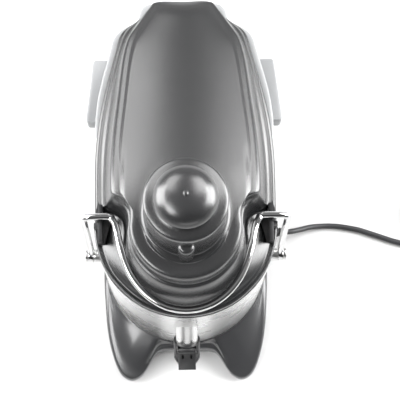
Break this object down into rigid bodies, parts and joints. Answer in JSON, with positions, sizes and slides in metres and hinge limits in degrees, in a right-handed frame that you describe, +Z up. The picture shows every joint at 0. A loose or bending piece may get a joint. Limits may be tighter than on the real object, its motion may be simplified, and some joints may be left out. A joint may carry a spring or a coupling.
{
  "type": "centrifugal juice extractor",
  "caption": "Table-top juice machine: steel bowl on a lobed foot, hooded lid with feed tube and pusher, wire locking bail, front spout and rear pulp bin.",
  "frame": {"origin": "middle of the base on the table, at the centre of the box around the machine and its bin", "axes": "+Z up, the spout towards -Y, the pulp bin towards +Y, +X to the side that the cord leaves"},
  "size_m": [0.5315, 0.4158, 0.506],
  "materials": {
    "moulded_dark": "fine satin moulded plastic",
    "moulded_gloss": "semi-gloss painted casting",
    "black_plastic": "black moulded plastic",
    "bin_plastic": "frosted light grey plastic",
    "rubber": "matt rubber",
    "cord_rubber": "smooth cable sheath",
    "steel": "brushed stainless sheet",
    "chrome_wire": "polished wire",
    "aluminium": "cast and turned",
    "motor_iron": "laminated iron",
    "copper": "lacquered winding",
    "green_button": "gloss plastic",
    "red_button": "gloss plastic"
  },
  "bodies": {
    "machine": {"foot_shell": "moulded_gloss", "bottom_plate": "steel", "rubber_feet": "rubber", "plate_screws": "steel", "motor_housing": "steel", "housing_cap": "aluminium", "motor_case": "aluminium", "motor_stator": "copper", "lower_bearing": "steel", "upper_bearing": "steel", "shaft_seal": "rubber", "switch_plate": "black_plastic", "juice_bowl": "steel", "spout_tube": "steel", "spout_nozzle": "black_plastic", "flap_pin": "steel", "bowl_gasket": "rubber", "bail_boss_left": "steel", "bail_boss_right": "steel", "lid_hood": "moulded_dark", "ramp_fin_left": "black_plastic", "ramp_fin_right": "black_plastic", "cord_gland": "rubber", "cord_run": "cord_rubber", "cord_coil": "cord_rubber", "cord_tail": "cord_rubber", "plug_body": "black_plastic", "plug_pins": "steel"},
    "rotor": {"drive_shaft": "steel", "rotor_core": "motor_iron", "drive_hub": "aluminium", "filter_basket": "steel", "grating_disc": "steel", "clamp_nut": "steel"},
    "pusher": {"pusher_plunger": "moulded_dark", "pusher_knob": "moulded_dark"},
    "bail": {"bail_wire": "chrome_wire", "bail_eyes": "chrome_wire"},
    "flap": {"drip_flap": "black_plastic"},
    "start": {"start_button": "green_button"},
    "stop": {"stop_button": "red_button"},
    "bin": {"pulp_bin": "bin_plastic", "bin_handles": "bin_plastic"}
  },
  "joints": [
    {"name": "rotor_spin", "type": "hinge", "parent": "machine", "child": "rotor", "pos_m": [0, -0.05964, 0.2], "axis": [0, 0, 1], "continuous": true},
    {"name": "pusher_lift", "type": "slide", "parent": "machine", "child": "pusher", "axis": [0, 0, 1], "range_m": [0, 0.185]},
    {"name": "bail_swing", "type": "hinge", "parent": "machine", "child": "bail", "pos_m": [0, -0.07864, 0.24], "axis": [1, 0, 0], "range_deg": [0, 60]},
    {"name": "flap_tilt", "type": "hinge", "parent": "machine", "child": "flap", "pos_m": [0, -0.18701, 0.20274], "axis": [-1, 0, 0], "range_deg": [0, 70]},
    {"name": "start_press", "type": "slide", "parent": "machine", "child": "start", "axis": [-1, 0, 0], "range_m": [0, 0.003], "stiffness_N_per_m": 600},
    {"name": "stop_press", "type": "slide", "parent": "machine", "child": "stop", "axis": [-1, 0, 0], "range_m": [0, 0.003], "stiffness_N_per_m": 600},
    {"name": "bin_slide", "type": "slide", "parent": "machine", "child": "bin", "axis": [0, 1, 0], "range_m": [0, 0.2]}
  ]
}
